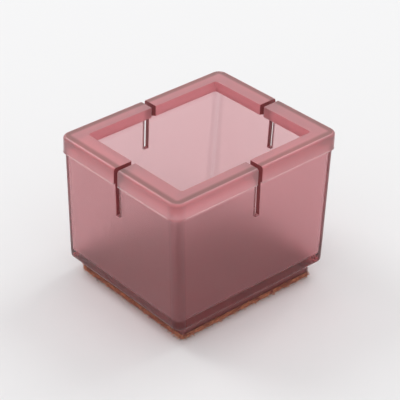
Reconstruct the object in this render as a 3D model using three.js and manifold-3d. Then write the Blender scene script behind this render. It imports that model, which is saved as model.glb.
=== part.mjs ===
// A slip-on cap for the foot of a rectangular chair leg. A soft cup, moulded in one piece, grips the
// leg with its inward lip, and a felt pad stuck under its plinth slides on the floor.
// Millimetres. X runs along the cap's long side, Y along its short side and Z up.
// The origin is the middle of the felt's underside, which stands on the floor.

import * as THREE from 'three';
import { mergeVertices } from 'three/addons/utils/BufferGeometryUtils.js';
import Module from 'manifold-3d';

// Mouth: the opening inside the lip, which the leg stretches as it goes in
const MOUTH_LENGTH = 33.9;
const MOUTH_WIDTH = 28.1;
const MOUTH_RADIUS = 0.6;

// Lip: how far it reaches in from the end walls and the side walls, and its undercut form
const LIP_REACH_ENDS = 2.95;
const LIP_REACH_SIDES = 2.15;
const LIP_FACE_HEIGHT = 2.4;
const LIP_FALL = 0.8;

// Cup: wall, floor and corners, with end walls that draw in and side walls that spread towards the base
const CUP_HEIGHT = 30;
const WALL = 1.1;
const FLOOR = 2;
const CAVITY_RADIUS = 0.6;
const CAVITY_FILLET = 0.4;
const END_DRAFT = 1.3;
const SIDE_SPREAD = 0.55;
const BASE_FILLET = 1;

// Collar: the proud band round the rim, with a rounded top edge
const COLLAR_PROUD = 0.4;
const COLLAR_HEIGHT = 3.6;
const RIM_FILLET = 0.6;

// Slits: one down the middle of each wall, so that the four corners can spread
const SLIT_WIDTH = 1.1;
const SLIT_DEPTH = 11;

// Foot: the plinth under the cup, and the film and felt that share its outline
const PLINTH_INSET_ENDS = 2.5;
const PLINTH_INSET_SIDES = 1.7;
const PLINTH_HEIGHT = 2.35;
const FOOT_RADIUS = 0.6;
const FILM_THICKNESS = 0.15;
const FELT_THICKNESS = 1.2;
const FELT_EDGE = 0.3;

// Facets, the least corner radius that a fillet may leave, and how far a cutter runs past what it cuts
const CORNER_STEPS = 8;
const FILLET_STEPS = 5;
const LEAST_RADIUS = 0.05;
const CUTTER_OVERRUN = 5;

// Heights of the seats, from the floor up
const FILM_BOTTOM = FELT_THICKNESS;
const PLINTH_BOTTOM = FILM_BOTTOM + FILM_THICKNESS;
const CUP_BOTTOM = PLINTH_BOTTOM + PLINTH_HEIGHT;
const CUP_TOP = CUP_BOTTOM + CUP_HEIGHT;
const COLLAR_BOTTOM = CUP_TOP - COLLAR_HEIGHT;
const CAVITY_BOTTOM = CUP_BOTTOM + FLOOR;

// Plans: each is a rounded rectangle, built outwards from the mouth
const plan = (length, width, radius) => ({ length, width, radius });

// The same plan with every edge moved outwards, or inwards where the distance is negative
function offsetPlan({ length, width, radius }, distance) {
  return plan(length + 2 * distance, width + 2 * distance, Math.max(radius + distance, LEAST_RADIUS));
}

const mouthPlan = plan(MOUTH_LENGTH, MOUTH_WIDTH, MOUTH_RADIUS);
const cavityTopPlan = plan(
  MOUTH_LENGTH + 2 * LIP_REACH_ENDS,
  MOUTH_WIDTH + 2 * LIP_REACH_SIDES,
  CAVITY_RADIUS,
);
const cavityBasePlan = plan(
  cavityTopPlan.length - 2 * END_DRAFT,
  cavityTopPlan.width + 2 * SIDE_SPREAD,
  CAVITY_RADIUS,
);
const basePlan = offsetPlan(cavityBasePlan, WALL);
const topPlan = offsetPlan(cavityTopPlan, WALL);
const collarPlan = offsetPlan(topPlan, COLLAR_PROUD);
const footPlan = plan(
  basePlan.length - 2 * PLINTH_INSET_ENDS,
  basePlan.width - 2 * PLINTH_INSET_SIDES,
  FOOT_RADIUS,
);

// The plan of the cavity at a height between the cup's base and the step under its collar
function cavityPlanAt(z) {
  const share = (z - CUP_BOTTOM) / (COLLAR_BOTTOM - CUP_BOTTOM);
  return plan(
    THREE.MathUtils.lerp(cavityBasePlan.length, cavityTopPlan.length, share),
    THREE.MathUtils.lerp(cavityBasePlan.width, cavityTopPlan.width, share),
    CAVITY_RADIUS,
  );
}

// Points of a plan, anticlockwise as seen from above, with the same count on every plan
function planPoints({ length, width, radius }) {
  const quarters = [[1, 1], [-1, 1], [-1, -1], [1, -1]];
  return quarters.flatMap(([sideX, sideY], quarter) => {
    const centreX = sideX * (length / 2 - radius);
    const centreY = sideY * (width / 2 - radius);
    return Array.from({ length: CORNER_STEPS + 1 }, (_, step) => {
      const angle = (quarter + step / CORNER_STEPS) * Math.PI / 2;
      return [centreX + radius * Math.cos(angle), centreY + radius * Math.sin(angle)];
    });
  });
}

// A closed solid lofted through plans at their heights: the first is capped facing down, the last
// facing up. A loft that climbs makes an outside, and one that goes down again makes an inside.
function loft(stations) {
  const rings = stations.map((station) => planPoints(station.plan));
  const count = rings[0].length;
  const positions = rings.flatMap((ring, row) => ring.flatMap(([x, y]) => [x, y, stations[row].z]));
  const indices = [];
  for (let row = 0; row + 1 < rings.length; row += 1) {
    for (let column = 0; column < count; column += 1) {
      const next = (column + 1) % count;
      const here = row * count;
      const above = here + count;
      indices.push(here + column, here + next, above + next);
      indices.push(here + column, above + next, above + column);
    }
  }
  const lastRow = (rings.length - 1) * count;
  const firstCentre = rings.length * count;
  const lastCentre = firstCentre + 1;
  positions.push(0, 0, stations[0].z, 0, 0, stations[stations.length - 1].z);
  for (let column = 0; column < count; column += 1) {
    const next = (column + 1) % count;
    indices.push(firstCentre, next, column);
    indices.push(lastCentre, lastRow + column, lastRow + next);
  }
  const geometry = new THREE.BufferGeometry();
  geometry.setAttribute('position', new THREE.Float32BufferAttribute(positions, 3));
  geometry.setIndex(indices);
  return geometry;
}

// Stations that round a horizontal edge of a plan, from one angle to another: at 0 degrees the edge
// stands upright, at 90 it lies flat on top and at -90 flat below
function roundedEdge(edgePlan, radius, centreZ, fromDegrees, toDegrees) {
  return Array.from({ length: FILLET_STEPS + 1 }, (_, step) => {
    const degrees = THREE.MathUtils.lerp(fromDegrees, toDegrees, step / FILLET_STEPS);
    const angle = THREE.MathUtils.degToRad(degrees);
    return {
      plan: offsetPlan(edgePlan, radius * (Math.cos(angle) - 1)),
      z: centreZ + radius * Math.sin(angle),
    };
  });
}

// Stations of the fillet between the cavity's wall and its floor, going down
function cavityFillet() {
  const start = CAVITY_BOTTOM + CAVITY_FILLET;
  return Array.from({ length: FILLET_STEPS + 1 }, (_, step) => {
    const angle = (step / FILLET_STEPS) * Math.PI / 2;
    return {
      plan: offsetPlan(cavityPlanAt(start), CAVITY_FILLET * (Math.cos(angle) - 1)),
      z: start - CAVITY_FILLET * Math.sin(angle),
    };
  });
}

// The cup before its slits: plinth, base, outer wall, collar, rim, lip and cavity in one profile
function cupBlank() {
  const lipEdge = CUP_TOP - LIP_FACE_HEIGHT;
  const lipRoot = lipEdge - LIP_FALL;
  return loft([
    { plan: footPlan, z: PLINTH_BOTTOM },
    { plan: footPlan, z: CUP_BOTTOM },
    ...roundedEdge(basePlan, BASE_FILLET, CUP_BOTTOM + BASE_FILLET, -90, 0),
    { plan: topPlan, z: COLLAR_BOTTOM },
    { plan: collarPlan, z: COLLAR_BOTTOM },
    ...roundedEdge(collarPlan, RIM_FILLET, CUP_TOP - RIM_FILLET, 0, 90),
    { plan: mouthPlan, z: CUP_TOP },
    { plan: mouthPlan, z: lipEdge },
    { plan: cavityPlanAt(lipRoot), z: lipRoot },
    ...cavityFillet(),
  ]);
}

// A box as wide as a slit that runs right across the cup through two opposite walls
function slitCutter(lengthX, lengthY) {
  const height = SLIT_DEPTH + CUTTER_OVERRUN;
  const box = new THREE.BoxGeometry(lengthX, lengthY, height);
  return box.translate(0, 0, CUP_TOP - SLIT_DEPTH + height / 2);
}

const wasm = await Module();
wasm.setup();

// A closed geometry as a solid that can be cut
function toSolid(geometry) {
  const bare = geometry.clone();
  bare.deleteAttribute('normal');
  bare.deleteAttribute('uv');
  const merged = mergeVertices(bare);
  return new wasm.Manifold(new wasm.Mesh({
    numProp: 3,
    vertProperties: new Float32Array(merged.attributes.position.array),
    triVerts: new Uint32Array(merged.index.array),
  }));
}

function toGeometry(solid) {
  const mesh = solid.getMesh();
  const geometry = new THREE.BufferGeometry();
  geometry.setAttribute('position', new THREE.Float32BufferAttribute(mesh.vertProperties, 3));
  geometry.setIndex(new THREE.Uint32BufferAttribute(mesh.triVerts, 1));
  geometry.computeVertexNormals();
  return geometry;
}

// Cup: the blank, cut by one slit cutter along X and one along Y
function cupGeometry() {
  const endSlits = slitCutter(collarPlan.length + 2 * CUTTER_OVERRUN, SLIT_WIDTH);
  const sideSlits = slitCutter(SLIT_WIDTH, collarPlan.width + 2 * CUTTER_OVERRUN);
  return toGeometry(toSolid(cupBlank()).subtract(toSolid(endSlits)).subtract(toSolid(sideSlits)));
}

// Film: double-sided adhesive, cut to the outline of the foot
function filmGeometry() {
  return loft([
    { plan: footPlan, z: FILM_BOTTOM },
    { plan: footPlan, z: PLINTH_BOTTOM },
  ]);
}

// Felt: the pad that slides on the floor, with its lower edge a little rounded
function feltGeometry() {
  return loft([
    ...roundedEdge(footPlan, FELT_EDGE, FELT_EDGE, -90, 0),
    { plan: footPlan, z: FELT_THICKNESS },
  ]);
}

const cupMaterial = new THREE.MeshStandardMaterial({
  color: 0xb67d83,
  roughness: 0.45,
  metalness: 0,
  transparent: true,
  opacity: 0.75,
});
const filmMaterial = new THREE.MeshStandardMaterial({ color: 0xd9c9bd, roughness: 0.6, metalness: 0 });
const feltMaterial = new THREE.MeshStandardMaterial({ color: 0x96553c, roughness: 1, metalness: 0 });

function namedMesh(name, geometry, material) {
  const mesh = new THREE.Mesh(geometry, material);
  mesh.name = name;
  return mesh;
}

const legCap = new THREE.Group();
legCap.add(
  namedMesh('moulded_cup', cupGeometry(), cupMaterial),
  namedMesh('adhesive_film', filmGeometry(), filmMaterial),
  namedMesh('felt_pad', feltGeometry(), feltMaterial),
);

export default legCap;
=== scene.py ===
# %% [markdown]
# # A slip-on chair leg cap
# The real object is one soft, translucent moulding with a felt pad stuck under it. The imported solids
# fix every size, so this lesson only gives them their finished surfaces: softened edges and frosted
# plastic on the cup, a thin film, and felt with loose fibres.

# %% Load the frame
import math

import bmesh
import bpy
import mathutils
import numpy as np
from mathutils import Matrix, Vector


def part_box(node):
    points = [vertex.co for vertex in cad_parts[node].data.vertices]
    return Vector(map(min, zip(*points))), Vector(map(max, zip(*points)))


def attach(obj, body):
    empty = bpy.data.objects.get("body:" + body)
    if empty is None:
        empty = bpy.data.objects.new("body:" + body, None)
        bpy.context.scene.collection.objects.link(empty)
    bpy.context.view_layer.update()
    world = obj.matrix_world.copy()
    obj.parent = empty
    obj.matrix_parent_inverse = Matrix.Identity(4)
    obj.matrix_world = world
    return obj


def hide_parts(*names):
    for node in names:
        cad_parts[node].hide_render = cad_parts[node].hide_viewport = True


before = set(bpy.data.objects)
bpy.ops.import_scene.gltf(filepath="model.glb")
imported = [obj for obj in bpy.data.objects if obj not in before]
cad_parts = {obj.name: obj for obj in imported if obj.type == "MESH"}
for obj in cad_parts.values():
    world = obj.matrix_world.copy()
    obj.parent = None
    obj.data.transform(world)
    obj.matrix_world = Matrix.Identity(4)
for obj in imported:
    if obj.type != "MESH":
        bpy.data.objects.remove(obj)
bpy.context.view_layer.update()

MM = 0.001
cup_low, cup_high = (Vector(corner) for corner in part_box("moulded_cup"))
film_low, film_high = (Vector(corner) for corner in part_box("adhesive_film"))
felt_low, felt_high = (Vector(corner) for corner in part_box("felt_pad"))

# %% [markdown]
# ## Plans of the moulding
# Every level of the cup is a rounded rectangle, so a level is just a length, a width, a corner radius
# and a height. The overall sizes come from the frame, and the wall, lip and collar from small sizes
# that a caliper would give. Working inwards from the collar keeps all of them in step.

# %% Sizes of the cup
WALL = 1.1 * MM
FLOOR = 2.0 * MM
PLINTH_HEIGHT = 2.35 * MM
COLLAR_PROUD = 0.4 * MM
COLLAR_HEIGHT = 3.6 * MM
END_DRAFT = 1.3 * MM
SIDE_SPREAD = 0.55 * MM
LIP_REACH_ENDS = 2.95 * MM
LIP_REACH_SIDES = 2.15 * MM
LIP_FACE_HEIGHT = 2.4 * MM
LIP_FALL = 0.8 * MM
CAVITY_RADIUS = 0.6 * MM
MOUTH_RADIUS = 0.6 * MM
FOOT_RADIUS = 0.6 * MM
RIM_FILLET = 0.6 * MM
BASE_FILLET = 1.0 * MM
CAVITY_FILLET = 0.4 * MM
SLIT_WIDTH = 1.1 * MM
SLIT_DEPTH = 11.0 * MM
LEAST_RADIUS = 0.05 * MM

plinth_bottom = cup_low.z
cup_bottom = plinth_bottom + PLINTH_HEIGHT
cup_top = cup_high.z
collar_bottom = cup_top - COLLAR_HEIGHT
slit_bottom = cup_top - SLIT_DEPTH
cavity_bottom = cup_bottom + FLOOR
lip_edge = cup_top - LIP_FACE_HEIGHT
lip_root = lip_edge - LIP_FALL
print("depth of the cavity, in mm:", round((cup_top - cavity_bottom) / MM, 2))

# %% Plans from the sizes


def grown(plan, distance):
    """The same rounded rectangle with its edge moved outwards, or inwards where distance is negative."""
    length, width, radius = plan
    return length + 2 * distance, width + 2 * distance, max(radius + distance, LEAST_RADIUS)


outer_radius = CAVITY_RADIUS + WALL
top_length = (cup_high.x - cup_low.x) - 2 * COLLAR_PROUD
base_width = cup_high.y - cup_low.y
top_plan = (top_length, base_width - 2 * SIDE_SPREAD, outer_radius)
base_plan = (top_length - 2 * END_DRAFT, base_width, outer_radius)
collar_plan = grown(top_plan, COLLAR_PROUD)
foot_plan = (felt_high.x - felt_low.x, felt_high.y - felt_low.y, FOOT_RADIUS)
mouth_plan = (
    top_plan[0] - 2 * (WALL + LIP_REACH_ENDS),
    top_plan[1] - 2 * (WALL + LIP_REACH_SIDES),
    MOUTH_RADIUS,
)


def wall_plan(z, inset=0.0):
    """The wall's plan at a height between the base and the collar, moved in by inset."""
    share = (z - cup_bottom) / (collar_bottom - cup_bottom)
    plan = tuple(low + (high - low) * share for low, high in zip(base_plan, top_plan))
    return grown(plan, -inset)


print("mouth, in mm:", [round(size / MM, 2) for size in mouth_plan])

# %% [markdown]
# ## The profile
# A moulder would draw the cup as one closed section: up the plinth, round the base, up the wall, over
# the collar and rim, down the lip and back down inside to the floor. Three lists hold it, because the
# slits cut only the middle one, from their bottom on the outside, over the rim, to their bottom inside.
# That middle list is called the petals, after the four corners that the slits leave free.

# %% Helpers for levels
FILLET_STEPS = 10


def rounded(plan, radius, centre_z, start, stop):
    """Levels that round an edge of a plan: 0 degrees is upright, 90 flat on top and -90 flat below."""
    angles = np.radians(np.linspace(start, stop, FILLET_STEPS + 1))
    return [(grown(plan, radius * (math.cos(a) - 1)), centre_z + radius * math.sin(a)) for a in angles]


def cavity_fillet():
    """Levels of the hollow corner between the cavity's wall and its floor, going down."""
    start = cavity_bottom + CAVITY_FILLET
    angles = np.radians(np.linspace(0, 90, FILLET_STEPS + 1))
    plan = wall_plan(start, WALL)
    return [
        (grown(plan, CAVITY_FILLET * (math.cos(a) - 1)), start - CAVITY_FILLET * math.sin(a))
        for a in angles
    ]


def wall_levels(start, stop, inset, steps):
    """Levels up or down a straight wall, both ends included."""
    return [(wall_plan(z, inset), z) for z in np.linspace(start, stop, steps + 1)]


print("levels in a fillet:", FILLET_STEPS + 1)

# %% Levels of the section
BOND_OVERLAP = 0.05 * MM
BOND_INSET = 0.03 * MM
FLASH_PROUD = 0.08 * MM
FLASH_HEIGHT = 0.2 * MM
BAND_WIDTH = 1.3 * MM
LOW_WALL_STEPS = 6
PETAL_STEPS = 4

bond_plan = grown(foot_plan, -BOND_INSET)
outside_low = [(bond_plan, plinth_bottom - BOND_OVERLAP), (bond_plan, cup_bottom)]
plinth_rows = range(len(outside_low))
outside_low += rounded(base_plan, BASE_FILLET, cup_bottom + BASE_FILLET, -90, 0)
outside_low += wall_levels(cup_bottom + BASE_FILLET, slit_bottom, 0, LOW_WALL_STEPS)[1:-1]

# The rows where the finish changes are noted on the way, counted from the first of the petals
petals = wall_levels(slit_bottom, collar_bottom, 0, PETAL_STEPS)
petals += [(grown(collar_plan, FLASH_PROUD), collar_bottom)]
petals += [(collar_plan, collar_bottom + FLASH_HEIGHT)]
flash_edges = (len(petals) - 3, len(petals) - 2, len(petals) - 1)
fillet_start = len(petals)
petals += rounded(collar_plan, RIM_FILLET, cup_top - RIM_FILLET, 0, 90)
petals += [(grown(collar_plan, -RIM_FILLET - 0.5 * BAND_WIDTH), cup_top)]
band_rows = (len(petals) - 2, len(petals) - 1)
petals += [(grown(collar_plan, -RIM_FILLET - BAND_WIDTH), cup_top)]
petals += [(mouth_plan, cup_top), (mouth_plan, lip_edge)]
mouth_edges = (len(petals) - 2, len(petals) - 1)
petals += wall_levels(lip_root, slit_bottom, WALL, PETAL_STEPS)

inside_low = wall_levels(slit_bottom, cavity_bottom + CAVITY_FILLET, WALL, LOW_WALL_STEPS)[1:-1]
inside_low += cavity_fillet()
levels = outside_low + petals + inside_low
first_cut = len(outside_low)
last_cut = first_cut + len(petals) - 1
first_hollow = first_cut + mouth_edges[1] + 1
print("levels in the section:", len(levels))

# %% [markdown]
# ## Points round a level
# Each level has the same count of points, so the levels can be joined row by row. A pair of columns lies
# exactly on each slit's edges, and the points crowd together on the corners, where the surface turns.

# %% Points of a quarter and of a level
CORNER_STEPS = 14
SIDE_STEPS = 8
CORNER_FADE = 0.6 * MM


def quarter_points(plan):
    """A quarter of a rounded rectangle, from the slit on +X round the corner to the slit on +Y."""
    length, width, radius = plan
    angles = np.linspace(0, np.pi / 2, CORNER_STEPS + 1)
    side = np.linspace(SLIT_WIDTH / 2, width / 2 - radius - CORNER_FADE, SIDE_STEPS)
    end = np.linspace(length / 2 - radius - CORNER_FADE, SLIT_WIDTH / 2, SIDE_STEPS)
    arc_x = length / 2 - radius + radius * np.cos(angles)
    arc_y = width / 2 - radius + radius * np.sin(angles)
    x = np.concatenate([np.full(SIDE_STEPS, length / 2), arc_x, end])
    y = np.concatenate([side, arc_y, np.full(SIDE_STEPS, width / 2)])
    return np.stack([x, y], axis=1)


def level_points(plan):
    """All four quarters, anticlockwise as seen from above."""
    quarter = quarter_points(plan)
    back = quarter[::-1]
    return np.concatenate([quarter, back * (-1, 1), quarter * (-1, -1), back * (1, -1)])


columns_per_quarter = len(quarter_points(foot_plan))
columns = 4 * columns_per_quarter
slit_columns = [(quarter + 1) * columns_per_quarter - 1 for quarter in range(4)]
print("columns round the cup:", columns)

# %% [markdown]
# ## A soft cup sits a little askew
# The moulding is soft, so its rim has settled a fraction of a millimetre to one side of its base and
# turned by about a degree. Both grow evenly with height, and the foot stays where the frame has it. A
# lattice could bend the finished mesh, but moving each level as it is made is simpler and exact.

# %% Lean and twist
RIM_LEAN = Vector((0.41 * MM, -0.50 * MM))
RIM_TWIST = math.radians(0.96)


def settled_points(plan, z):
    """The points of a level at height z, turned and moved as far as the soft wall has settled there."""
    share = min(max((z - cup_bottom) / (cup_top - cup_bottom), 0.0), 1.0)
    angle = share * RIM_TWIST
    turn = np.array([[math.cos(angle), math.sin(angle)], [-math.sin(angle), math.cos(angle)]])
    return level_points(plan) @ turn + share * np.array(RIM_LEAN)


print("lean of the rim, in mm:", round(RIM_LEAN.length / MM, 2))

# %% [markdown]
# ## Paint for the material
# The moulding isn't the same all over. Its rim is milky, with a band of painted shade along the outer
# edge. Its hollow is dull from the core of the mould, its upright corners carry painted shade, a painted
# highlight runs under the collar with a fainter one round the base, and the plinth is painted dark as
# shade under the cup. A mask image could hold all this, but the levels already lie where the finish
# changes, so a few numbers on each point are enough. The material reads them later.

# %% Milk and painted band shade by level
COLLAR_MILK = 0.55
LIP_MILK = 0.6
TOP_SHADE = 0.15
BAND_FADE_LEVELS = 3


def milkiness(row):
    """How milky a level of the petals is: 1 on the rim's top and the lip's face, 0 on the walls."""
    lip_row = mouth_edges[1]
    stops = (
        (flash_edges[0], 0.0), (flash_edges[1], COLLAR_MILK), (fillet_start, COLLAR_MILK),
        (band_rows[0], 1.0), (lip_row, 1.0), (lip_row + 1, LIP_MILK), (lip_row + 2, 0.0),
    )
    return float(np.interp(row, *zip(*stops)))


def band_shading(row):
    """How much painted shade a level of the petals gets: most near the rim's outer edge, and none on the
    lip's face.
    """
    stops = (
        (band_rows[0] - BAND_FADE_LEVELS, 0.0), (band_rows[0], 1.0), (band_rows[1], 1.0),
        (band_rows[1] + 1, TOP_SHADE), (mouth_edges[0], TOP_SHADE), (mouth_edges[1], 0.0),
    )
    return float(np.interp(row, *zip(*stops)))


print("milky share of the collar:", milkiness(fillet_start))

# %% Painted corner shade, painted highlight lines and dullness
OUTSIDE_DULL = 0.22
RIM_DULL = 0.45
CORNER_DULL = 0.3
HOLLOW_DULL = 0.5
COLLAR_CORNER_SHADE = 0.5
# Painted highlights: a pale line along the ridge under the collar and a fainter one round the base.
HIGHLIGHT_LINE = 0.95
BASE_HIGHLIGHT = 0.2
BASE_HIGHLIGHT_STEPS = (3, 4, 5, 6)

base_highlight_rows = [len(plinth_rows) + step for step in BASE_HIGHLIGHT_STEPS]


def cornering(column):
    """1 on an upright corner's arc, so that it fades to 0 over the next faces on each side."""
    step = column % columns_per_quarter - SIDE_STEPS
    return float(0 <= step <= CORNER_STEPS)


def corner_shade(petal_row, column):
    """How much painted shade an upright corner gets: less on the collar, and none above it or inside."""
    if petal_row <= flash_edges[0]:
        return cornering(column)
    if petal_row <= fillet_start:
        return COLLAR_CORNER_SHADE * cornering(column)
    return 0.0


def painted_highlights(row, column):
    """A painted highlight under the collar, which stops at the corners, and a fainter painted highlight
    round the base.
    """
    if row == first_cut + flash_edges[1]:
        return HIGHLIGHT_LINE * (1 - cornering(column))
    if row in base_highlight_rows:
        return BASE_HIGHLIGHT
    return 0.0


def dullness(row, milk, corner):
    """How dull the skin is: the hollow most, then the rim, then the corners and the outside."""
    if row >= first_hollow:
        return HOLLOW_DULL
    return OUTSIDE_DULL + (RIM_DULL - OUTSIDE_DULL) * milk + (CORNER_DULL - OUTSIDE_DULL) * corner


def paints(row, column):
    """All the numbers of one point, by name."""
    petal_row = row - first_cut
    milk = milkiness(petal_row)
    corner = corner_shade(petal_row, column)
    # The corner, band and foot numbers are painted shade, and the pale line number is a painted highlight.
    return {
        "milk": milk,
        "dull": dullness(row, milk, corner),
        "band": band_shading(petal_row),
        "corner": corner,
        "painted_highlight": painted_highlights(row, column),
        "foot": float(row in plinth_rows),
    }


print("numbers on each point:", ", ".join(paints(0, 0)))

# %% [markdown]
# ## Skin with slits
# Faces join each level to the next. Between the columns of a slit they are left out above the slit's
# bottom, and the open ends of the four petals are closed with a face of their own. That cuts the slits
# with no boolean, so the mesh stays clean and every edge that has to be softened is known by its row and
# column.

# %% Faces of the cup
CUT_MATERIAL = 1


def after(column):
    """The next column, anticlockwise."""
    return (column + 1) % columns


def skin_faces(shell, rows):
    """Faces between neighbouring levels, apart from the slits, and the two flat ends."""
    for row, (here, above) in enumerate(zip(rows, rows[1:])):
        for column in range(columns):
            cut = column in slit_columns and first_cut <= row < last_cut
            if not cut:
                following = after(column)
                shell.faces.new((here[column], here[following], above[following], above[column]))
    shell.faces.new(rows[0][::-1])
    shell.faces.new(rows[-1])


def slit_faces(shell, rows):
    """Closes the sides and the bottom of each slit, and returns the pairs of points along its edges."""
    edges = []
    low_out, low_in = rows[first_cut], rows[last_cut]
    for column in slit_columns:
        following = after(column)
        for edge_column in (column, following):
            loop = [ring[edge_column] for ring in rows[first_cut:last_cut + 1]]
            shell.faces.new(loop).material_index = CUT_MATERIAL
            edges += list(zip(loop, loop[1:]))
        shell.faces.new((low_out[column], low_out[following], low_in[following], low_in[column]))
        edges += [(low_out[column], low_out[following]), (low_in[column], low_in[following])]
    return edges


def level_edges(ring):
    """Pairs of neighbouring points round a level, apart from those across a slit."""
    return [(ring[column], ring[after(column)]) for column in range(columns) if column not in slit_columns]


print("slits:", len(slit_columns))

# %% [markdown]
# ## From faces to a finished object
# Moulded edges are never quite sharp, so a small bevel rounds the slits and the mouth. The large flat walls
# then need weighted normals, or the bevels would bend their shading. A modifier gives those, and it is
# worked into the mesh at once, because a finished piece has to be a plain one.

# %% Finished objects


def made_plain(piece, modifier):
    """The piece's mesh with the modifier worked in, and the modifier gone."""
    plain = bpy.data.meshes.new_from_object(piece.evaluated_get(bpy.context.evaluated_depsgraph_get()))
    piece.modifiers.remove(modifier)
    return plain


def finished_object(name, shell):
    """A smooth-shaded object at the origin, with flat faces kept flat by weighted normals."""
    mesh = bpy.data.meshes.new(name)
    shell.to_mesh(mesh)
    shell.free()
    mesh.shade_smooth()
    piece = bpy.data.objects.new(name, mesh)
    bpy.context.collection.objects.link(piece)
    weighted = piece.modifiers.new("flat faces", "WEIGHTED_NORMAL")
    weighted.keep_sharp = True
    piece.data = made_plain(piece, weighted)
    piece.data.name = name
    return piece


print("layers of paint:", len(paints(0, 0)))

# %% Cup mesh
EDGE_SOFTENING = 0.1 * MM
SOFTENING_STEPS = 3


def painted_rows(shell):
    """The points of every level, with their numbers on them."""
    layers = {name: shell.verts.layers.float.new(name) for name in paints(0, 0)}
    rows = []
    for row, (plan, z) in enumerate(levels):
        ring = [shell.verts.new((x, y, z)) for x, y in settled_points(plan, z)]
        for column, vertex in enumerate(ring):
            for name, value in paints(row, column).items():
                vertex[layers[name]] = value
        rows.append(ring)
    return rows


def cup_mesh():
    """The whole moulding as a bmesh, with its sharp edges softened."""
    shell = bmesh.new()
    rows = painted_rows(shell)
    skin_faces(shell, rows)
    sharp = slit_faces(shell, rows)
    for row in mouth_edges:
        sharp += level_edges(rows[first_cut + row])
    for row in flash_edges:
        for pair in level_edges(rows[first_cut + row]):
            shell.edges.get(pair).smooth = False
    bmesh.ops.recalc_face_normals(shell, faces=shell.faces)
    edges = dict.fromkeys(shell.edges.get(pair) for pair in sharp)
    bmesh.ops.bevel(
        shell, geom=list(edges), offset=EDGE_SOFTENING, segments=SOFTENING_STEPS, profile=0.5,
        affect="EDGES", clamp_overlap=True,
    )
    return shell


cup = finished_object("cup", cup_mesh())
print("cup:", len(cup.data.vertices), "points,", len(cup.data.polygons), "faces")

# %% [markdown]
# ## Nodes for every finish
# Each finish is a small node tree. These helpers make one node in one line: a value goes straight into
# a socket, and another node's output is linked to it, so that a tree reads from its parts to its whole.

# %% Node helpers


def give(tree, socket, value):
    """Links another node's output to a socket, or sets a plain value on it."""
    if isinstance(value, bpy.types.NodeSocket):
        tree.links.new(value, socket)
    else:
        socket.default_value = value


def node(tree, kind, inputs=(), **settings):
    """A new node with its settings, and each of the named inputs linked or set."""
    fresh = tree.nodes.new(kind)
    for name, value in settings.items():
        setattr(fresh, name, value)
    for socket, value in inputs:
        give(tree, fresh.inputs[socket], value)
    return fresh


def place_parts(tree):
    """The X, Y and Z outputs of the Object coordinates."""
    place = node(tree, "ShaderNodeTexCoord").outputs["Object"]
    return node(tree, "ShaderNodeSeparateXYZ", [("Vector", place)]).outputs


def attribute(tree, name):
    """The value of a mesh attribute."""
    return node(tree, "ShaderNodeAttribute", attribute_name=name).outputs["Fac"]


def noise(tree, scale, detail=3.0, roughness=0.5):
    """A 0 to 1 noise on Object coordinates, with scale in features per metre."""
    return node(tree, "ShaderNodeTexNoise", [
        ("Vector", node(tree, "ShaderNodeTexCoord").outputs["Object"]),
        ("Scale", scale), ("Detail", detail), ("Roughness", roughness),
    ]).outputs["Fac"]


def mapped(tree, value, low, high, start=0.0, stop=1.0):
    """A value that goes from start to stop, stretched to run from low to high."""
    return node(tree, "ShaderNodeMapRange", [
        ("Value", value), ("From Min", start), ("From Max", stop), ("To Min", low), ("To Max", high),
    ]).outputs["Result"]


def mixed_colours(tree, factor, first, second):
    """A colour that runs from first to second with a 0 to 1 factor."""
    blend = node(tree, "ShaderNodeMix", data_type="RGBA")
    first_input, second_input = (socket for socket in blend.inputs if socket.type == "RGBA")
    give(tree, first_input, first)
    give(tree, second_input, second)
    give(tree, blend.inputs["Factor"], factor)
    return next(socket for socket in blend.outputs if socket.type == "RGBA")


print("node helpers are ready")

# %% Material helpers


def grain(tree, scale, strength, depth):
    """A surface normal with a fine grain of the given scale and depth."""
    return node(tree, "ShaderNodeBump", [
        ("Strength", strength), ("Distance", depth), ("Height", noise(tree, scale)),
    ]).outputs["Normal"]


def new_material(name):
    """A node material with an empty tree, and that tree."""
    material = bpy.data.materials.new(name)
    material.use_nodes = True
    material.node_tree.nodes.clear()
    return material, material.node_tree


def dressed(tree, inputs):
    """Puts a Principled surface with these inputs on the tree's output, which is returned."""
    output = node(tree, "ShaderNodeOutputMaterial")
    shader = node(tree, "ShaderNodeBsdfPrincipled", inputs)
    tree.links.new(shader.outputs["BSDF"], output.inputs["Surface"])
    return output


print("material helpers are ready")

# %% [markdown]
# ## Frosted plastic
# The cup is clear pink right through and its skin is dull from the mould, so what lies behind a wall
# shows as a blur. A Principled shader that lets nearly all light through gives the skin, and a Volume
# Absorption gives the body's colour, so that a thin wall is pale and a thick edge or floor is deep. The
# numbers on the points change the skin's colour, clearness and dullness, and some of that colour is
# painted shade and painted highlight. What is the same all over sits on the shaders' own sockets. The
# cut faces of the slits get a second finish, painted dark red as shade.

# %% Body of the plastic
PLASTIC_IOR = 1.46
PLASTIC_TINT = (0.80, 0.06, 0.13, 1.0)
PLASTIC_DEPTH = 225.0
GLOSS_DULL = 0.18
MOULD_GRAIN = 900.0
MOULD_GRAIN_STRENGTH = 0.03
MOULD_GRAIN_DEPTH = 0.1 * MM


def plastic(tree, skin, clear, dull, gloss):
    """The cup's plastic with a surface of its own: every kind shares the same tinted body."""
    output = dressed(tree, [
        ("IOR", PLASTIC_IOR), ("Base Color", skin), ("Transmission Weight", clear), ("Roughness", dull),
        ("Coat Weight", gloss), ("Coat Roughness", GLOSS_DULL),
        ("Normal", grain(tree, MOULD_GRAIN, MOULD_GRAIN_STRENGTH, MOULD_GRAIN_DEPTH)),
    ])
    body = node(tree, "ShaderNodeVolumeAbsorption", [("Color", PLASTIC_TINT), ("Density", PLASTIC_DEPTH)])
    tree.links.new(body.outputs["Volume"], output.inputs["Volume"])


print("tint of the plastic:", PLASTIC_TINT[:3])

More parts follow.
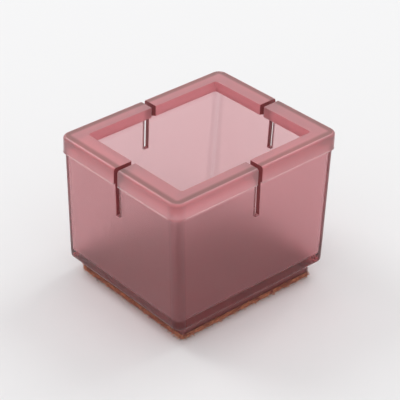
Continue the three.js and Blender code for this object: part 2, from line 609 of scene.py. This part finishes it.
# %% Skins of the cup
WALL_SKIN = (1.0, 0.835, 0.85, 1.0)
RIM_SKIN = (1.0, 0.52, 0.56, 1.0)
# Painted shade for the band along the rim's outer edge, where one looks into the depth of the wall.
BAND_SHADE_SKIN = (0.48, 0.25, 0.24, 1.0)
# Painted shade for the upright corners, where one looks along the wall through more plastic.
CORNER_SHADE_SKIN = (0.72, 0.56, 0.58, 1.0)
# The pale colour of the painted highlight lines.
HIGHLIGHT_SKIN = (1.0, 0.86, 0.84, 1.0)
# Painted shade: the plinth is painted dark as the shade under the cup's overhang.
FOOT_SHADE_SKIN = (0.55, 0.27, 0.28, 1.0)
# Painted shade for the faces inside the slits.
CUT_SHADE_SKIN = (0.45, 0.11, 0.12, 1.0)
WALL_CLEAR = 0.985
RIM_CLEAR = 0.70
HIGHLIGHT_CLEAR = 0.1
FOOT_CLEAR = 0.3
CUT_CLEAR = 0.35
CUT_DULL = 0.5
RIM_GLOSS = 0.6


def frosted_plastic():
    """The moulded skin: clear walls, a milky rim, a dull hollow, painted shade and painted highlights."""
    material, tree = new_material("frosted_plastic")
    milk = attribute(tree, "milk")
    painted_highlight = attribute(tree, "painted_highlight")
    foot = attribute(tree, "foot")
    # The band, corner and foot colours below are painted shade, and the pale line colour is a painted
    # highlight.
    rim_skin = mixed_colours(tree, attribute(tree, "band"), RIM_SKIN, BAND_SHADE_SKIN)
    skin = mixed_colours(tree, milk, WALL_SKIN, rim_skin)
    skin = mixed_colours(tree, attribute(tree, "corner"), skin, CORNER_SHADE_SKIN)
    skin = mixed_colours(tree, painted_highlight, skin, HIGHLIGHT_SKIN)
    skin = mixed_colours(tree, foot, skin, FOOT_SHADE_SKIN)
    clear = mapped(tree, milk, WALL_CLEAR, RIM_CLEAR)
    clear = mapped(tree, painted_highlight, clear, HIGHLIGHT_CLEAR)
    clear = mapped(tree, foot, clear, FOOT_CLEAR)
    plastic(tree, skin, clear, attribute(tree, "dull"), mapped(tree, milk, 0.0, RIM_GLOSS))
    return material


def cut_plastic():
    """The faces of the slits, painted dark red as shade deep in the narrow slits."""
    material, tree = new_material("cut_plastic")
    plastic(tree, CUT_SHADE_SKIN, CUT_CLEAR, CUT_DULL, gloss=0.0)
    return material


cup.data.materials.append(frosted_plastic())
cup.data.materials.append(cut_plastic())
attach(cup, "root")
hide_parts("moulded_cup")
print("cup materials:", [material.name for material in cup.data.materials])

# %% [markdown]
# ## Adhesive film
# Of the film only the edge is open to view, a thin line between plinth and felt, painted dark as shade
# under the plinth. The rest shows dimly through the plastic. Its imported solid is already right, so it
# just gets a finish: a dull brown sheet with faint patches and painted shade along its edge.

# %% Film material
FILM_PALE = (0.50, 0.36, 0.34, 1.0)
FILM_STAINED = (0.39, 0.25, 0.23, 1.0)
# Painted shade along the film's edge, which lies under the plinth.
FILM_EDGE_SHADE = (0.24, 0.095, 0.06, 1.0)
FILM_SHADE_WIDTH = 0.5 * MM
FILM_PATCHES = 400.0
FILM_CONTRAST = (0.3, 0.7)
FILM_DULL = 0.6


def near_edge(tree):
    """1 on the film's rim and 0 further in, from how far a point lies from the middle."""
    parts = place_parts(tree)
    nearness = []
    for axis, half in (("X", film_high.x), ("Y", film_high.y)):
        distance = node(tree, "ShaderNodeMath", [(0, parts[axis])], operation="ABSOLUTE").outputs[0]
        nearness.append(mapped(tree, distance, 0.0, 1.0, start=half - FILM_SHADE_WIDTH, stop=half))
    return node(tree, "ShaderNodeMath", enumerate(nearness), operation="MAXIMUM").outputs[0]


def film_finish():
    """A dull sheet with faint patches and painted shade along its edge."""
    material, tree = new_material("adhesive_film_finish")
    stain = mapped(tree, noise(tree, FILM_PATCHES), 0.0, 1.0, *FILM_CONTRAST)
    sheet = mixed_colours(tree, stain, FILM_PALE, FILM_STAINED)
    # The film's edge gets painted shade.
    colour = mixed_colours(tree, near_edge(tree), sheet, FILM_EDGE_SHADE)
    dressed(tree, [("Base Color", colour), ("Roughness", FILM_DULL)])
    return material


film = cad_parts["adhesive_film"]
film.data.materials.clear()
film.data.materials.append(film_finish())
print("film:", round((film_high.z - film_low.z) / MM, 2), "mm thick")

# %% [markdown]
# ## Felt pad
# Needle felt is a mat of short fibres, so its cut edge is uneven and fuzzy. The pad could be a plain
# block with a bump, but its outline shows against the floor. So a Remesh modifier covers the slab with
# even, small faces, and noise pushes the edge in and out a little.

# %% Felt body
FELT_UNEVEN = 0.12 * MM
FELT_FACES = 0.3 * MM
FELT_LUMPS = 700.0
NUBS_PER_LUMP = 3


def felt_slab():
    """The pad as a plain prism on the foot's outline."""
    slab = bmesh.new()
    outline = [slab.verts.new((x, y, felt_low.z)) for x, y in level_points(foot_plan)]
    base = slab.faces.new(outline)
    extruded = bmesh.ops.extrude_face_region(slab, geom=[base])
    lifted = [item for item in extruded["geom"] if isinstance(item, bmesh.types.BMVert)]
    bmesh.ops.translate(slab, verts=lifted, vec=(0, 0, felt_high.z - felt_low.z))
    bmesh.ops.recalc_face_normals(slab, faces=slab.faces)
    return slab


def roughen(mesh):
    """Pushes the pad's edge in and out in plan, so that both faces stay flat."""
    for vertex in mesh.vertices:
        outward = Vector((vertex.normal.x, vertex.normal.y, 0))
        lump = mathutils.noise.noise(vertex.co * FELT_LUMPS)
        nub = mathutils.noise.noise(vertex.co * NUBS_PER_LUMP * FELT_LUMPS)
        vertex.co += outward * (lump + nub) * FELT_UNEVEN


felt = finished_object("felt", felt_slab())
even_faces = felt.modifiers.new("even faces", "REMESH")
even_faces.mode = "VOXEL"
even_faces.voxel_size = FELT_FACES
felt.data = made_plain(felt, even_faces)
roughen(felt.data)
felt.data.shade_smooth()
print("felt:", len(felt.data.polygons), "faces")

# %% [markdown]
# ## Felt finish
# The felt is mixed from rust and maroon fibres. Two colours blended by a strong noise look like that mix
# from a step away, a fine grain breaks up the light, and a little sheen stands for the fuzz.

# %% Felt material
FELT_RUST = (0.60, 0.24, 0.13, 1.0)
FELT_MAROON = (0.22, 0.06, 0.05, 1.0)
FELT_PATCHES = 900.0
FELT_PATCH_DETAIL = 4.0
FELT_PATCH_ROUGHNESS = 0.65
FELT_CONTRAST = (0.38, 0.62)
FELT_SHEEN = 0.25
FELT_SHEEN_DULL = 0.5
FELT_GRAIN = 4000.0
FELT_GRAIN_STRENGTH = 0.6
FELT_GRAIN_DEPTH = 0.1 * MM


def felt_finish():
    """Dull felt, mixed from rust and maroon."""
    material, tree = new_material("rust_felt")
    patches = noise(tree, FELT_PATCHES, FELT_PATCH_DETAIL, FELT_PATCH_ROUGHNESS)
    share = mapped(tree, patches, 0.0, 1.0, *FELT_CONTRAST)
    dressed(tree, [
        ("Base Color", mixed_colours(tree, share, FELT_MAROON, FELT_RUST)), ("Roughness", 1.0),
        ("Sheen Weight", FELT_SHEEN), ("Sheen Roughness", FELT_SHEEN_DULL),
        ("Normal", grain(tree, FELT_GRAIN, FELT_GRAIN_STRENGTH, FELT_GRAIN_DEPTH)),
    ])
    return material


felt_material = felt_finish()
felt.data.materials.clear()
felt.data.materials.append(felt_material)
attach(felt, "root")
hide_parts("felt_pad")
print("felt material:", felt_material.name)

# %% [markdown]
# ## Loose fibres
# The cut edge of the felt is fuzzy with loose strands. Hair curves would be lost in an export, so
# Geometry Nodes scatter a small mesh instead. One bent strand is drawn at unit length, and every copy
# gets its own turn, tilt and length. The last nodes make the strands real, keep them off the floor and
# give them their finish.

# %% Nodes of one strand and of its places
STRAND_STEPS = 4
STRAND_SIDES = 3
STRAND_MIDDLE = (0.4, 0.1, 0.5)
STRAND_END = (0, 0.3, 1)
STEEP_ENOUGH = 0.6


def strand(tree, values):
    """One bent strand that rises by 1, as slim as its thickness is to its length."""
    bend = node(tree, "GeometryNodeCurveQuadraticBezier", [
        ("Resolution", STRAND_STEPS), ("Start", (0, 0, 0)), ("Middle", STRAND_MIDDLE), ("End", STRAND_END),
    ])
    slimness = node(tree, "ShaderNodeMath", [
        (0, values["Thickness"]), (1, values["Length"]),
    ], operation="DIVIDE")
    section = node(tree, "GeometryNodeCurvePrimitiveCircle", [
        ("Resolution", STRAND_SIDES), ("Radius", slimness.outputs[0]),
    ])
    return node(tree, "GeometryNodeCurveToMesh", [
        ("Curve", bend.outputs["Curve"]), ("Profile Curve", section.outputs["Curve"]), ("Fill Caps", True),
    ]).outputs["Mesh"]


def side_points(tree, values):
    """Points on the pad's upright sides, and the normals there."""
    normal = node(tree, "GeometryNodeInputNormal").outputs["Normal"]
    upward = node(tree, "ShaderNodeSeparateXYZ", [("Vector", normal)]).outputs["Z"]
    slope = node(tree, "ShaderNodeMath", [(0, upward)], operation="ABSOLUTE").outputs[0]
    side = node(tree, "ShaderNodeMath", [(0, slope), (1, STEEP_ENOUGH)], operation="LESS_THAN").outputs[0]
    return node(tree, "GeometryNodeDistributePointsOnFaces", [
        ("Mesh", values["Pad"]), ("Selection", side), ("Density", values["Density"]),
        ("Seed", values["Seed"]),
    ]).outputs


print("faces along a strand:", STRAND_STEPS * STRAND_SIDES)

# %% Nodes that turn, size and lift the strands
SCATTER_SEED = 1
ROLL_SEED = 2
LENGTH_SEED = 3
SHORTEST_SHARE = 0.4


def random_vector(tree, reach, seed):
    """A random vector with each part between minus and plus reach."""
    return node(tree, "FunctionNodeRandomValue", [
        ("Seed", seed), ("Min", (-reach, -reach, -reach)), ("Max", (reach, reach, reach)),
    ], data_type="FLOAT_VECTOR").outputs["Value"]


def added(tree, first, second):
    """The sum of two vectors."""
    return node(tree, "ShaderNodeVectorMath", [(0, first), (1, second)], operation="ADD").outputs["Vector"]


def strand_turns(tree, values, normal):
    """A turn for each strand: outwards, raised, scattered, and rolled about its own length."""
    scatter = node(tree, "ShaderNodeVectorMath", [
        (0, random_vector(tree, 1.0, SCATTER_SEED)), ("Scale", values["Spread"]),
    ], operation="SCALE").outputs["Vector"]
    upright = node(tree, "ShaderNodeCombineXYZ", [("Z", values["Rise"])]).outputs["Vector"]
    lean = added(tree, added(tree, normal, upright), scatter)
    roll = node(tree, "FunctionNodeEulerToRotation", [("Euler", random_vector(tree, math.pi, ROLL_SEED))])
    return node(tree, "FunctionNodeAlignRotationToVector", [
        ("Rotation", roll.outputs["Rotation"]), ("Vector", lean),
    ], axis="Z").outputs["Rotation"]


def strand_lengths(tree, values):
    """A length for each strand, from the shortest share of the full length up to all of it."""
    chance = node(tree, "FunctionNodeRandomValue", [("Seed", LENGTH_SEED)], data_type="FLOAT").outputs[1]
    share = mapped(tree, chance, SHORTEST_SHARE, 1.0)
    length = node(tree, "ShaderNodeMath", [(0, share), (1, values["Length"])], operation="MULTIPLY")
    return length.outputs[0]


def above_floor(tree, values, strands):
    """The strands with every point that lies too low lifted to the lowest height."""
    position = node(tree, "GeometryNodeInputPosition").outputs["Position"]
    place = node(tree, "ShaderNodeSeparateXYZ", [("Vector", position)]).outputs
    lifted = node(tree, "ShaderNodeMath", [(0, place["Z"]), (1, values["Lowest"])], operation="MAXIMUM")
    kept = node(tree, "ShaderNodeCombineXYZ", [
        ("X", place["X"]), ("Y", place["Y"]), ("Z", lifted.outputs[0]),
    ]).outputs["Vector"]
    return node(tree, "GeometryNodeSetPosition", [
        ("Geometry", strands), ("Position", kept),
    ]).outputs["Geometry"]


print("seeds of the strands:", (SCATTER_SEED, ROLL_SEED, LENGTH_SEED))

# %% The fibre tree
FIBRE_INPUTS = {
    "Pad": "NodeSocketGeometry", "Density": "NodeSocketFloat", "Seed": "NodeSocketInt",
    "Length": "NodeSocketFloat", "Thickness": "NodeSocketFloat", "Spread": "NodeSocketFloat",
    "Rise": "NodeSocketFloat", "Lowest": "NodeSocketFloat", "Finish": "NodeSocketMaterial",
}


def fibre_tree():
    """A node tree that covers the upright sides of a pad with bent strands."""
    tree = bpy.data.node_groups.new("loose_fibres", "GeometryNodeTree")
    for name, kind in FIBRE_INPUTS.items():
        tree.interface.new_socket(name, in_out="INPUT", socket_type=kind)
    tree.interface.new_socket("Fibres", in_out="OUTPUT", socket_type="NodeSocketGeometry")
    values = node(tree, "NodeGroupInput").outputs
    points = side_points(tree, values)
    copies = node(tree, "GeometryNodeInstanceOnPoints", [
        ("Points", points["Points"]), ("Instance", strand(tree, values)),
        ("Rotation", strand_turns(tree, values, points["Normal"])), ("Scale", strand_lengths(tree, values)),
    ])
    real = node(tree, "GeometryNodeRealizeInstances", [("Geometry", copies.outputs["Instances"])])
    finished = node(tree, "GeometryNodeSetMaterial", [
        ("Geometry", above_floor(tree, values, real.outputs["Geometry"])), ("Material", values["Finish"]),
    ])
    node(tree, "NodeGroupOutput", [("Fibres", finished.outputs["Geometry"])])
    return tree


loose_fibres = fibre_tree()
print("nodes in the fibre tree:", len(loose_fibres.nodes))

# %% [markdown]
# ## Two kinds of fibre
# Most strands are short rust ones that lie close to the edge. A few longer tan ones stand out of it. Both
# come from the same tree with other inputs, and each becomes a plain mesh that moves with the pad.

# %% Fibres on the pad
RUST_FIBRES = {
    "Density": 1.6e7, "Seed": 11, "Length": 0.7 * MM, "Thickness": 0.045 * MM, "Spread": 1.5,
    "Rise": 0.5, "Lowest": 0.03 * MM,
}
TAN_FIBRES = {
    "Density": 2.4e6, "Seed": 5, "Length": 0.9 * MM, "Thickness": 0.03 * MM, "Spread": 1.0,
    "Rise": 0.3, "Lowest": 0.02 * MM,
}
RUST_LIGHT = (0.92, 0.42, 0.24, 1.0)
RUST_DARK = (0.52, 0.17, 0.13, 1.0)
TAN_LIGHT = (0.75, 0.50, 0.34, 1.0)
TAN_DARK = (0.55, 0.27, 0.15, 1.0)
FIBRE_PATCHES = 1500.0
FIBRE_CONTRAST = (0.4, 0.6)


def fibre_finish(name, light, dark):
    """A dull fibre colour that changes from strand to strand."""
    material, tree = new_material(name)
    share = mapped(tree, noise(tree, FIBRE_PATCHES), 0.0, 1.0, *FIBRE_CONTRAST)
    dressed(tree, [("Base Color", mixed_colours(tree, share, dark, light)), ("Roughness", 1.0)])
    return material


def fibres(name, sizes, finish):
    """Strands on the felt as a plain mesh object that moves with it."""
    piece = bpy.data.objects.new(name, felt.data.copy())
    bpy.context.collection.objects.link(piece)
    modifier = piece.modifiers.new("fibres", "NODES")
    modifier.node_group = loose_fibres
    values = {**sizes, "Finish": finish}
    for socket in loose_fibres.interface.items_tree:
        if socket.in_out == "INPUT" and socket.name in values:
            modifier[socket.identifier] = values[socket.name]
    piece.data = made_plain(piece, modifier)
    piece.data.name = name
    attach(piece, "root")
    print(name + ":", len(piece.data.polygons), "faces")


fibres("rust_fibres", RUST_FIBRES, fibre_finish("rust_fibre", RUST_LIGHT, RUST_DARK))
fibres("tan_fibres", TAN_FIBRES, fibre_finish("tan_fibre", TAN_LIGHT, TAN_DARK))

# %% [markdown]
# ## Floor
# The cap stands on a plain pale sheet that runs out of view, so one large square is enough.

# %% Stage floor
FLOOR_SIZE = 6.0
FLOOR_PALE = (0.78, 0.78, 0.785, 1.0)
FLOOR_DULL = 0.9


def stage_floor():
    """A dull square sheet at floor height."""
    mesh = bpy.data.meshes.new("floor")
    half = FLOOR_SIZE / 2
    corners = [(-half, -half, 0), (half, -half, 0), (half, half, 0), (-half, half, 0)]
    mesh.from_pydata(corners, [], [(0, 1, 2, 3)])
    plane = bpy.data.objects.new("floor", mesh)
    bpy.context.collection.objects.link(plane)
    material, tree = new_material("floor_paper")
    dressed(tree, [("Base Color", FLOOR_PALE), ("Roughness", FLOOR_DULL)])
    mesh.materials.append(material)
    return plane


stage_floor()
print("floor:", FLOOR_SIZE, "m square")

# %% [markdown]
# ## Camera
# The camera repeats the photographed view: turned, raised and rolled by measured angles, with a long
# lens. Its three directions make the columns of its matrix, which is plainer than a chain of turns.

# %% Camera in the photographed place
IMAGE_PIXELS = 400
FOCAL_PIXELS = 1594.1
VIEW_AZIMUTH = math.radians(-40.806)
VIEW_ELEVATION = math.radians(32.419)
VIEW_ROLL = math.radians(0.453)
VIEW_RIGHT = 0.908 * MM
VIEW_UP = 12.004 * MM
VIEW_DISTANCE = 331.36 * MM


def view_axes():
    """The camera's right, up and backward directions."""
    flat = math.cos(VIEW_ELEVATION)
    back = Vector((
        math.sin(VIEW_AZIMUTH) * flat, -math.cos(VIEW_AZIMUTH) * flat, math.sin(VIEW_ELEVATION),
    ))
    level = Vector((math.cos(VIEW_AZIMUTH), math.sin(VIEW_AZIMUTH), 0))
    rise = back.cross(level)
    right = math.cos(VIEW_ROLL) * level + math.sin(VIEW_ROLL) * rise
    up = math.cos(VIEW_ROLL) * rise - math.sin(VIEW_ROLL) * level
    return right, up, back


right, up, back = view_axes()
camera_data = bpy.data.cameras.new("camera")
camera_data.lens = FOCAL_PIXELS / IMAGE_PIXELS * camera_data.sensor_width
camera = bpy.data.objects.new("camera", camera_data)
turn = Matrix((right, up, back)).transposed().to_4x4()
place = Vector((0, 0, cup_bottom)) + right * VIEW_RIGHT + up * VIEW_UP + back * VIEW_DISTANCE
camera.matrix_world = Matrix.Translation(place) @ turn
bpy.context.collection.objects.link(camera)
bpy.context.scene.camera = camera
bpy.context.scene.view_settings.view_transform = "Standard"
print("lens, in mm:", round(camera_data.lens, 1))

# %% [markdown]
# ## Light
# The light is soft and even. The sky is brightest overhead and falls off towards the horizon, and two
# wide lamps behind the cap, to the left and right, give the rim its highlights and light the walls
# from the back, so that they glow.

# %% Sky
SKY_OVERHEAD = 1.1
SKY_LEVEL = 0.36

world = bpy.data.worlds.new("studio")
bpy.context.scene.world = world
world.use_nodes = True
sky_tree = world.node_tree
sky = sky_tree.nodes["Background"]
sky.inputs["Color"].default_value = (1.0, 1.0, 1.0, 1.0)
sky_strength = mapped(sky_tree, place_parts(sky_tree)["Z"], SKY_LEVEL, SKY_OVERHEAD)
sky_tree.links.new(sky_strength, sky.inputs["Strength"])
print("sky, level and overhead:", SKY_LEVEL, SKY_OVERHEAD)

# %% Lamps
LEFT_POWER = 0.95
LEFT_PLACE = -0.40
RIGHT_POWER = 0.75
RIGHT_PLACE = 0.27
LAMP_SIZE = 0.25
LAMP_BACK = 0.25
LAMP_HEIGHT = 0.52


def soft_lamp(name, offset, power):
    """A square lamp above and behind the cap, offset to one side and turned to it."""
    data = bpy.data.lights.new(name, "AREA")
    data.energy = power
    data.size = LAMP_SIZE
    lamp = bpy.data.objects.new(name, data)
    sideways = Vector((right.x, right.y, 0)).normalized() * offset
    behind = -Vector((back.x, back.y, 0)).normalized() * LAMP_BACK
    lamp.location = sideways + behind + Vector((0, 0, LAMP_HEIGHT))
    lamp.rotation_euler = lamp.location.to_track_quat("Z", "Y").to_euler()
    bpy.context.collection.objects.link(lamp)
    print(name + ":", power, "W")


soft_lamp("left lamp", LEFT_PLACE, LEFT_POWER)
soft_lamp("right lamp", RIGHT_PLACE, RIGHT_POWER)
